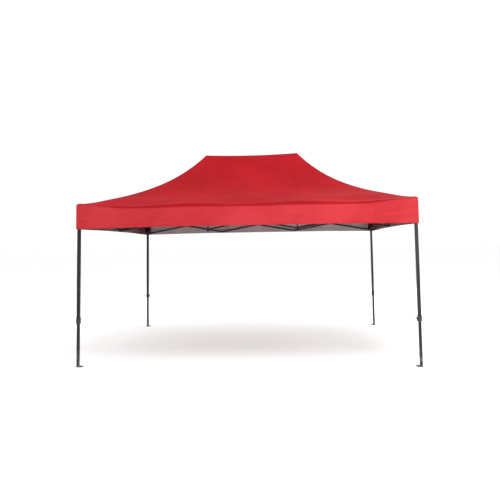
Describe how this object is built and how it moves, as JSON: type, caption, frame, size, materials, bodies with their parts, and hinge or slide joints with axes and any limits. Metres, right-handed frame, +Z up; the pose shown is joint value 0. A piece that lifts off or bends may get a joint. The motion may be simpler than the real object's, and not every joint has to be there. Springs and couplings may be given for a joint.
{
  "type": "pop up gazebo",
  "caption": "Folding pop up gazebo with a black steel scissor frame on telescopic legs and a red double-peaked canopy with a straight valance.",
  "frame": {"origin": "on the ground under the middle of the gazebo", "axes": "+X along the long side, to the right seen from the front; +Y from front to back; +Z up"},
  "size_m": [4.438, 3.0314, 3.036],
  "materials": {
    "roof_fabric": "matte woven polyester, deep red",
    "valance_fabric": "matte woven polyester, red, thinner and lit through",
    "bar_steel": "black powder coat, satin",
    "leg_steel": "black hammered powder coat, satin",
    "latch_steel": "dark zinc and black plastic, satin",
    "bracket_nylon": "black glass-filled nylon, matte"
  },
  "bodies": {
    "upper_hub_left": {"upper_hub_left": "bracket_nylon", "canopy_roof": "roof_fabric", "canopy_valance": "valance_fabric"},
    "front_bar_1_rising": {"front_bar_1_rising": "bar_steel"},
    "front_bar_1_falling": {"front_bar_1_falling": "bar_steel"},
    "front_bar_2_rising": {"front_bar_2_rising": "bar_steel"},
    "front_bar_2_falling": {"front_bar_2_falling": "bar_steel"},
    "front_bar_3_rising": {"front_bar_3_rising": "bar_steel"},
    "front_bar_3_falling": {"front_bar_3_falling": "bar_steel"},
    "back_bar_1_rising": {"back_bar_1_rising": "bar_steel"},
    "back_bar_1_falling": {"back_bar_1_falling": "bar_steel"},
    "back_bar_2_rising": {"back_bar_2_rising": "bar_steel"},
    "back_bar_2_falling": {"back_bar_2_falling": "bar_steel"},
    "back_bar_3_rising": {"back_bar_3_rising": "bar_steel"},
    "back_bar_3_falling": {"back_bar_3_falling": "bar_steel"},
    "middle_bar_1_rising": {"middle_bar_1_rising": "bar_steel"},
    "middle_bar_1_falling": {"middle_bar_1_falling": "bar_steel"},
    "middle_bar_2_rising": {"middle_bar_2_rising": "bar_steel"},
    "middle_bar_2_falling": {"middle_bar_2_falling": "bar_steel"},
    "middle_bar_3_rising": {"middle_bar_3_rising": "bar_steel"},
    "middle_bar_3_falling": {"middle_bar_3_falling": "bar_steel"},
    "left_bar_1_rising": {"left_bar_1_rising": "bar_steel"},
    "left_bar_1_falling": {"left_bar_1_falling": "bar_steel"},
    "left_bar_2_rising": {"left_bar_2_rising": "bar_steel"},
    "left_bar_2_falling": {"left_bar_2_falling": "bar_steel"},
    "right_bar_1_rising": {"right_bar_1_rising": "bar_steel"},
    "right_bar_1_falling": {"right_bar_1_falling": "bar_steel"},
    "right_bar_2_rising": {"right_bar_2_rising": "bar_steel"},
    "right_bar_2_falling": {"right_bar_2_falling": "bar_steel"},
    "upper_hub_right": {"upper_hub_right": "bracket_nylon"},
    "lower_hub_left": {"lower_hub_left": "bracket_nylon", "mast_outer_tube_left": "leg_steel"},
    "mast_inner_tube_left": {"mast_inner_tube_left": "leg_steel"},
    "upper_middle_bracket_left": {"upper_middle_bracket_left": "bracket_nylon"},
    "lower_middle_bracket_left": {"lower_middle_bracket_left": "bracket_nylon"},
    "lower_hub_right": {"lower_hub_right": "bracket_nylon", "mast_outer_tube_right": "leg_steel"},
    "mast_inner_tube_right": {"mast_inner_tube_right": "leg_steel"},
    "upper_middle_bracket_right": {"upper_middle_bracket_right": "bracket_nylon"},
    "lower_middle_bracket_right": {"lower_middle_bracket_right": "bracket_nylon"},
    "outer_leg_front_left": {"outer_leg_front_left": "leg_steel"},
    "inner_leg_front_left": {"inner_leg_front_left": "leg_steel"},
    "slider_front_left": {"slider_front_left": "bracket_nylon"},
    "slider_pull_pin_front_left": {"slider_pull_pin_front_left": "latch_steel"},
    "leg_lock_lever_front_left": {"leg_lock_lever_front_left": "latch_steel"},
    "outer_leg_front_right": {"outer_leg_front_right": "leg_steel"},
    "inner_leg_front_right": {"inner_leg_front_right": "leg_steel"},
    "slider_front_right": {"slider_front_right": "bracket_nylon"},
    "slider_pull_pin_front_right": {"slider_pull_pin_front_right": "latch_steel"},
    "leg_lock_lever_front_right": {"leg_lock_lever_front_right": "latch_steel"},
    "outer_leg_back_right": {"outer_leg_back_right": "leg_steel"},
    "inner_leg_back_right": {"inner_leg_back_right": "leg_steel"},
    "slider_back_right": {"slider_back_right": "bracket_nylon"},
    "slider_pull_pin_back_right": {"slider_pull_pin_back_right": "latch_steel"},
    "leg_lock_lever_back_right": {"leg_lock_lever_back_right": "latch_steel"},
    "outer_leg_back_left": {"outer_leg_back_left": "leg_steel"},
    "inner_leg_back_left": {"inner_leg_back_left": "leg_steel"},
    "slider_back_left": {"slider_back_left": "bracket_nylon"},
    "slider_pull_pin_back_left": {"slider_pull_pin_back_left": "latch_steel"},
    "leg_lock_lever_back_left": {"leg_lock_lever_back_left": "latch_steel"}
  },
  "joints": [
    {"name": "frame_fold", "type": "hinge", "parent": "upper_hub_left", "child": "middle_bar_1_rising", "pos_m": [-0.75333, 0, 2.08], "axis": [0, -1, 0], "range_deg": [0, 76.56], "deforming": ["canopy_roof", "canopy_valance"]},
    {"name": "upper_hub_left_to_middle_bar_2_falling", "type": "hinge", "parent": "upper_hub_left", "child": "middle_bar_2_falling", "pos_m": [-0.70333, 0, 2.08], "axis": [0, 1, 0], "range_deg": [0, 76.56]},
    {"name": "middle_bar_1_rising_to_middle_bar_1_falling", "type": "hinge", "parent": "middle_bar_1_rising", "child": "middle_bar_1_falling", "pos_m": [-1.45667, 0, 1.95], "axis": [0, 1, 0], "range_deg": [0, 153.13]},
    {"name": "middle_bar_1_rising_to_lower_middle_bracket_left", "type": "hinge", "parent": "middle_bar_1_rising", "child": "lower_middle_bracket_left", "pos_m": [-2.16, 0, 1.82], "axis": [0, 1, 0], "range_deg": [0, 76.56]},
    {"name": "middle_bar_1_falling_to_upper_middle_bracket_left", "type": "hinge", "parent": "middle_bar_1_falling", "child": "upper_middle_bracket_left", "pos_m": [-2.16, 0, 2.08], "axis": [0, -1, 0], "range_deg": [0, 76.56]},
    {"name": "middle_bar_1_falling_to_lower_hub_left", "type": "hinge", "parent": "middle_bar_1_falling", "child": "lower_hub_left", "pos_m": [-0.75333, 0, 1.82], "axis": [0, -1, 0], "range_deg": [0, 76.56]},
    {"name": "middle_bar_2_falling_to_middle_bar_2_rising", "type": "hinge", "parent": "middle_bar_2_falling", "child": "middle_bar_2_rising", "pos_m": [0, 0, 1.95], "axis": [0, -1, 0], "range_deg": [0, 153.13]},
    {"name": "middle_bar_2_falling_to_lower_hub_right", "type": "hinge", "parent": "middle_bar_2_falling", "child": "lower_hub_right", "pos_m": [0.70333, 0, 1.82], "axis": [0, -1, 0], "range_deg": [0, 76.56]},
    {"name": "middle_bar_2_rising_to_upper_hub_right", "type": "hinge", "parent": "middle_bar_2_rising", "child": "upper_hub_right", "pos_m": [0.70333, 0, 2.08], "axis": [0, 1, 0], "range_deg": [0, 76.56]},
    {"name": "lower_hub_right_to_middle_bar_3_rising", "type": "hinge", "parent": "lower_hub_right", "child": "middle_bar_3_rising", "pos_m": [0.75333, 0, 1.82], "axis": [0, -1, 0], "range_deg": [0, 76.56]},
    {"name": "middle_bar_3_rising_to_middle_bar_3_falling", "type": "hinge", "parent": "middle_bar_3_rising", "child": "middle_bar_3_falling", "pos_m": [1.45667, 0, 1.95], "axis": [0, 1, 0], "range_deg": [0, 153.13]},
    {"name": "middle_bar_3_rising_to_upper_middle_bracket_right", "type": "hinge", "parent": "middle_bar_3_rising", "child": "upper_middle_bracket_right", "pos_m": [2.16, 0, 2.08], "axis": [0, 1, 0], "range_deg": [0, 76.56]},
    {"name": "middle_bar_3_falling_to_lower_middle_bracket_right", "type": "hinge", "parent": "middle_bar_3_falling", "child": "lower_middle_bracket_right", "pos_m": [2.16, 0, 1.82], "axis": [0, -1, 0], "range_deg": [0, 76.56]},
    {"name": "upper_middle_bracket_left_to_left_bar_1_rising", "type": "hinge", "parent": "upper_middle_bracket_left", "child": "left_bar_1_rising", "pos_m": [-2.19, 0, 2.08], "axis": [1, 0, 0], "range_deg": [0, 76.56]},
    {"name": "upper_middle_bracket_left_to_left_bar_2_falling", "type": "hinge", "parent": "upper_middle_bracket_left", "child": "left_bar_2_falling", "pos_m": [-2.19, 0, 2.08], "axis": [-1, 0, 0], "range_deg": [0, 76.56]},
    {"name": "left_bar_1_rising_to_left_bar_1_falling", "type": "hinge", "parent": "left_bar_1_rising", "child": "left_bar_1_falling", "pos_m": [-2.19, -0.70333, 1.95], "axis": [-1, 0, 0], "range_deg": [0, 153.13]},
    {"name": "left_bar_2_falling_to_left_bar_2_rising", "type": "hinge", "parent": "left_bar_2_falling", "child": "left_bar_2_rising", "pos_m": [-2.19, 0.70333, 1.95], "axis": [1, 0, 0], "range_deg": [0, 153.13]},
    {"name": "left_bar_1_falling_to_outer_leg_front_left", "type": "hinge", "parent": "left_bar_1_falling", "child": "outer_leg_front_left", "pos_m": [-2.19, -1.40667, 2.08], "axis": [1, 0, 0], "range_deg": [0, 76.56]},
    {"name": "left_bar_1_rising_to_slider_front_left", "type": "hinge", "parent": "left_bar_1_rising", "child": "slider_front_left", "pos_m": [-2.19, -1.40667, 1.82], "axis": [-1, 0, 0], "range_deg": [0, 76.56]},
    {"name": "left_bar_2_rising_to_outer_leg_back_left", "type": "hinge", "parent": "left_bar_2_rising", "child": "outer_leg_back_left", "pos_m": [-2.19, 1.40667, 2.08], "axis": [-1, 0, 0], "range_deg": [0, 76.56]},
    {"name": "left_bar_2_falling_to_slider_back_left", "type": "hinge", "parent": "left_bar_2_falling", "child": "slider_back_left", "pos_m": [-2.19, 1.40667, 1.82], "axis": [1, 0, 0], "range_deg": [0, 76.56]},
    {"name": "upper_middle_bracket_right_to_right_bar_1_rising", "type": "hinge", "parent": "upper_middle_bracket_right", "child": "right_bar_1_rising", "pos_m": [2.19, 0, 2.08], "axis": [1, 0, 0], "range_deg": [0, 76.56]},
    {"name": "upper_middle_bracket_right_to_right_bar_2_falling", "type": "hinge", "parent": "upper_middle_bracket_right", "child": "right_bar_2_falling", "pos_m": [2.19, 0, 2.08], "axis": [-1, 0, 0], "range_deg": [0, 76.56]},
    {"name": "right_bar_1_rising_to_right_bar_1_falling", "type": "hinge", "parent": "right_bar_1_rising", "child": "right_bar_1_falling", "pos_m": [2.19, -0.70333, 1.95], "axis": [-1, 0, 0], "range_deg": [0, 153.13]},
    {"name": "right_bar_2_falling_to_right_bar_2_rising", "type": "hinge", "parent": "right_bar_2_falling", "child": "right_bar_2_rising", "pos_m": [2.19, 0.70333, 1.95], "axis": [1, 0, 0], "range_deg": [0, 153.13]},
    {"name": "right_bar_1_falling_to_outer_leg_front_right", "type": "hinge", "parent": "right_bar_1_falling", "child": "outer_leg_front_right", "pos_m": [2.19, -1.40667, 2.08], "axis": [1, 0, 0], "range_deg": [0, 76.56]},
    {"name": "right_bar_1_rising_to_slider_front_right", "type": "hinge", "parent": "right_bar_1_rising", "child": "slider_front_right", "pos_m": [2.19, -1.40667, 1.82], "axis": [-1, 0, 0], "range_deg": [0, 76.56]},
    {"name": "right_bar_2_rising_to_outer_leg_back_right", "type": "hinge", "parent": "right_bar_2_rising", "child": "outer_leg_back_right", "pos_m": [2.19, 1.40667, 2.08], "axis": [-1, 0, 0], "range_deg": [0, 76.56]},
    {"name": "right_bar_2_falling_to_slider_back_right", "type": "hinge", "parent": "right_bar_2_falling", "child": "slider_back_right", "pos_m": [2.19, 1.40667, 1.82], "axis": [1, 0, 0], "range_deg": [0, 76.56]},
    {"name": "outer_leg_front_left_to_front_bar_1_falling", "type": "hinge", "parent": "outer_leg_front_left", "child": "front_bar_1_falling", "pos_m": [-2.11, -1.48667, 2.08], "axis": [0, 1, 0], "range_deg": [0, 76.56]},
    {"name": "front_bar_1_falling_to_front_bar_1_rising", "type": "hinge", "parent": "front_bar_1_falling", "child": "front_bar_1_rising", "pos_m": [-1.40667, -1.48667, 1.95], "axis": [0, -1, 0], "range_deg": [0, 153.13]},
    {"name": "front_bar_1_rising_to_front_bar_2_falling", "type": "hinge", "parent": "front_bar_1_rising", "child": "front_bar_2_falling", "pos_m": [-0.70333, -1.48667, 2.08], "axis": [0, 1, 0], "range_deg": [0, 153.13]},
    {"name": "front_bar_2_falling_to_front_bar_2_rising", "type": "hinge", "parent": "front_bar_2_falling", "child": "front_bar_2_rising", "pos_m": [0, -1.48667, 1.95], "axis": [0, -1, 0], "range_deg": [0, 153.13]},
    {"name": "outer_leg_front_right_to_front_bar_3_rising", "type": "hinge", "parent": "outer_leg_front_right", "child": "front_bar_3_rising", "pos_m": [2.11, -1.48667, 2.08], "axis": [0, -1, 0], "range_deg": [0, 76.56]},
    {"name": "front_bar_3_rising_to_front_bar_3_falling", "type": "hinge", "parent": "front_bar_3_rising", "child": "front_bar_3_falling", "pos_m": [1.40667, -1.48667, 1.95], "axis": [0, 1, 0], "range_deg": [0, 153.13]},
    {"name": "outer_leg_back_left_to_back_bar_1_falling", "type": "hinge", "parent": "outer_leg_back_left", "child": "back_bar_1_falling", "pos_m": [-2.11, 1.48667, 2.08], "axis": [0, 1, 0], "range_deg": [0, 76.56]},
    {"name": "back_bar_1_falling_to_back_bar_1_rising", "type": "hinge", "parent": "back_bar_1_falling", "child": "back_bar_1_rising", "pos_m": [-1.40667, 1.48667, 1.95], "axis": [0, -1, 0], "range_deg": [0, 153.13]},
    {"name": "back_bar_1_rising_to_back_bar_2_falling", "type": "hinge", "parent": "back_bar_1_rising", "child": "back_bar_2_falling", "pos_m": [-0.70333, 1.48667, 2.08], "axis": [0, 1, 0], "range_deg": [0, 153.13]},
    {"name": "back_bar_2_falling_to_back_bar_2_rising", "type": "hinge", "parent": "back_bar_2_falling", "child": "back_bar_2_rising", "pos_m": [0, 1.48667, 1.95], "axis": [0, -1, 0], "range_deg": [0, 153.13]},
    {"name": "outer_leg_back_right_to_back_bar_3_rising", "type": "hinge", "parent": "outer_leg_back_right", "child": "back_bar_3_rising", "pos_m": [2.11, 1.48667, 2.08], "axis": [0, -1, 0], "range_deg": [0, 76.56]},
    {"name": "back_bar_3_rising_to_back_bar_3_falling", "type": "hinge", "parent": "back_bar_3_rising", "child": "back_bar_3_falling", "pos_m": [1.40667, 1.48667, 1.95], "axis": [0, 1, 0], "range_deg": [0, 153.13]},
    {"name": "mast_slide_left", "type": "slide", "parent": "lower_hub_left", "child": "mast_inner_tube_left", "axis": [0, 0, 1], "range_m": [0, 0.31]},
    {"name": "mast_slide_right", "type": "slide", "parent": "lower_hub_right", "child": "mast_inner_tube_right", "axis": [0, 0, 1], "range_m": [0, 0.31]},
    {"name": "leg_extend_front_left", "type": "slide", "parent": "outer_leg_front_left", "child": "inner_leg_front_left", "axis": [0, 0, 1], "range_m": [0, 0.5]},
    {"name": "pull_pin_slide_front_left", "type": "slide", "parent": "slider_front_left", "child": "slider_pull_pin_front_left", "axis": [0, 1, 0], "range_m": [0, 0.009], "stiffness_N_per_m": 900, "springref_m": -0.004},
    {"name": "lever_press_front_left", "type": "hinge", "parent": "outer_leg_front_left", "child": "leg_lock_lever_front_left", "pos_m": [-2.19, -1.45467, 0.594], "axis": [1, 0, 0], "range_deg": [0, 22], "stiffness_Nm_per_rad": 0.8, "springref_deg": -14.32},
    {"name": "leg_extend_front_right", "type": "slide", "parent": "outer_leg_front_right", "child": "inner_leg_front_right", "axis": [0, 0, 1], "range_m": [0, 0.5]},
    {"name": "pull_pin_slide_front_right", "type": "slide", "parent": "slider_front_right", "child": "slider_pull_pin_front_right", "axis": [-1, 0, 0], "range_m": [0, 0.009], "stiffness_N_per_m": 900, "springref_m": -0.004},
    {"name": "lever_press_front_right", "type": "hinge", "parent": "outer_leg_front_right", "child": "leg_lock_lever_front_right", "pos_m": [2.158, -1.48667, 0.594], "axis": [0, 1, 0], "range_deg": [0, 22], "stiffness_Nm_per_rad": 0.8, "springref_deg": -14.32},
    {"name": "leg_extend_back_right", "type": "slide", "parent": "outer_leg_back_right", "child": "inner_leg_back_right", "axis": [0, 0, 1], "range_m": [0, 0.5]},
    {"name": "pull_pin_slide_back_right", "type": "slide", "parent": "slider_back_right", "child": "slider_pull_pin_back_right", "axis": [0, -1, 0], "range_m": [0, 0.009], "stiffness_N_per_m": 900, "springref_m": -0.004},
    {"name": "lever_press_back_right", "type": "hinge", "parent": "outer_leg_back_right", "child": "leg_lock_lever_back_right", "pos_m": [2.19, 1.45467, 0.594], "axis": [-1, 0, 0], "range_deg": [0, 22], "stiffness_Nm_per_rad": 0.8, "springref_deg": -14.32},
    {"name": "leg_extend_back_left", "type": "slide", "parent": "outer_leg_back_left", "child": "inner_leg_back_left", "axis": [0, 0, 1], "range_m": [0, 0.5]},
    {"name": "pull_pin_slide_back_left", "type": "slide", "parent": "slider_back_left", "child": "slider_pull_pin_back_left", "axis": [1, 0, 0], "range_m": [0, 0.009], "stiffness_N_per_m": 900, "springref_m": -0.004},
    {"name": "lever_press_back_left", "type": "hinge", "parent": "outer_leg_back_left", "child": "leg_lock_lever_back_left", "pos_m": [-2.158, 1.48667, 0.594], "axis": [0, -1, 0], "range_deg": [0, 22], "stiffness_Nm_per_rad": 0.8, "springref_deg": -14.32}
  ],
  "couplings": [
    {"joint": "upper_hub_left_to_middle_bar_2_falling", "follows": "frame_fold", "ratio": 1},
    {"joint": "middle_bar_1_rising_to_middle_bar_1_falling", "follows": "frame_fold", "ratio": 2},
    {"joint": "middle_bar_1_rising_to_lower_middle_bracket_left", "follows": "frame_fold", "ratio": 1},
    {"joint": "middle_bar_1_falling_to_upper_middle_bracket_left", "follows": "frame_fold", "ratio": 1},
    {"joint": "middle_bar_1_falling_to_lower_hub_left", "follows": "frame_fold", "ratio": 1},
    {"joint": "middle_bar_2_falling_to_middle_bar_2_rising", "follows": "frame_fold", "ratio": 2},
    {"joint": "middle_bar_2_falling_to_lower_hub_right", "follows": "frame_fold", "ratio": 1},
    {"joint": "middle_bar_2_rising_to_upper_hub_right", "follows": "frame_fold", "ratio": 1},
    {"joint": "lower_hub_right_to_middle_bar_3_rising", "follows": "frame_fold", "ratio": 1},
    {"joint": "middle_bar_3_rising_to_middle_bar_3_falling", "follows": "frame_fold", "ratio": 2},
    {"joint": "middle_bar_3_rising_to_upper_middle_bracket_right", "follows": "frame_fold", "ratio": 1},
    {"joint": "middle_bar_3_falling_to_lower_middle_bracket_right", "follows": "frame_fold", "ratio": 1},
    {"joint": "upper_middle_bracket_left_to_left_bar_1_rising", "follows": "frame_fold", "ratio": 1},
    {"joint": "upper_middle_bracket_left_to_left_bar_2_falling", "follows": "frame_fold", "ratio": 1},
    {"joint": "left_bar_1_rising_to_left_bar_1_falling", "follows": "frame_fold", "ratio": 2},
    {"joint": "left_bar_2_falling_to_left_bar_2_rising", "follows": "frame_fold", "ratio": 2},
    {"joint": "left_bar_1_falling_to_outer_leg_front_left", "follows": "frame_fold", "ratio": 1},
    {"joint": "left_bar_1_rising_to_slider_front_left", "follows": "frame_fold", "ratio": 1},
    {"joint": "left_bar_2_rising_to_outer_leg_back_left", "follows": "frame_fold", "ratio": 1},
    {"joint": "left_bar_2_falling_to_slider_back_left", "follows": "frame_fold", "ratio": 1},
    {"joint": "upper_middle_bracket_right_to_right_bar_1_rising", "follows": "frame_fold", "ratio": 1},
    {"joint": "upper_middle_bracket_right_to_right_bar_2_falling", "follows": "frame_fold", "ratio": 1},
    {"joint": "right_bar_1_rising_to_right_bar_1_falling", "follows": "frame_fold", "ratio": 2},
    {"joint": "right_bar_2_falling_to_right_bar_2_rising", "follows": "frame_fold", "ratio": 2},
    {"joint": "right_bar_1_falling_to_outer_leg_front_right", "follows": "frame_fold", "ratio": 1},
    {"joint": "right_bar_1_rising_to_slider_front_right", "follows": "frame_fold", "ratio": 1},
    {"joint": "right_bar_2_rising_to_outer_leg_back_right", "follows": "frame_fold", "ratio": 1},
    {"joint": "right_bar_2_falling_to_slider_back_right", "follows": "frame_fold", "ratio": 1},
    {"joint": "outer_leg_front_left_to_front_bar_1_falling", "follows": "frame_fold", "ratio": 1},
    {"joint": "front_bar_1_falling_to_front_bar_1_rising", "follows": "frame_fold", "ratio": 2},
    {"joint": "front_bar_1_rising_to_front_bar_2_falling", "follows": "frame_fold", "ratio": 2},
    {"joint": "front_bar_2_falling_to_front_bar_2_rising", "follows": "frame_fold", "ratio": 2},
    {"joint": "outer_leg_front_right_to_front_bar_3_rising", "follows": "frame_fold", "ratio": 1},
    {"joint": "front_bar_3_rising_to_front_bar_3_falling", "follows": "frame_fold", "ratio": 2},
    {"joint": "outer_leg_back_left_to_back_bar_1_falling", "follows": "frame_fold", "ratio": 1},
    {"joint": "back_bar_1_falling_to_back_bar_1_rising", "follows": "frame_fold", "ratio": 2},
    {"joint": "back_bar_1_rising_to_back_bar_2_falling", "follows": "frame_fold", "ratio": 2},
    {"joint": "back_bar_2_falling_to_back_bar_2_rising", "follows": "frame_fold", "ratio": 2},
    {"joint": "outer_leg_back_right_to_back_bar_3_rising", "follows": "frame_fold", "ratio": 1},
    {"joint": "back_bar_3_rising_to_back_bar_3_falling", "follows": "frame_fold", "ratio": 2},
    {"joint": "mast_slide_left", "follows": "frame_fold", "m_per_rad": 0.23199},
    {"joint": "mast_slide_right", "follows": "frame_fold", "m_per_rad": 0.23199}
  ]
}
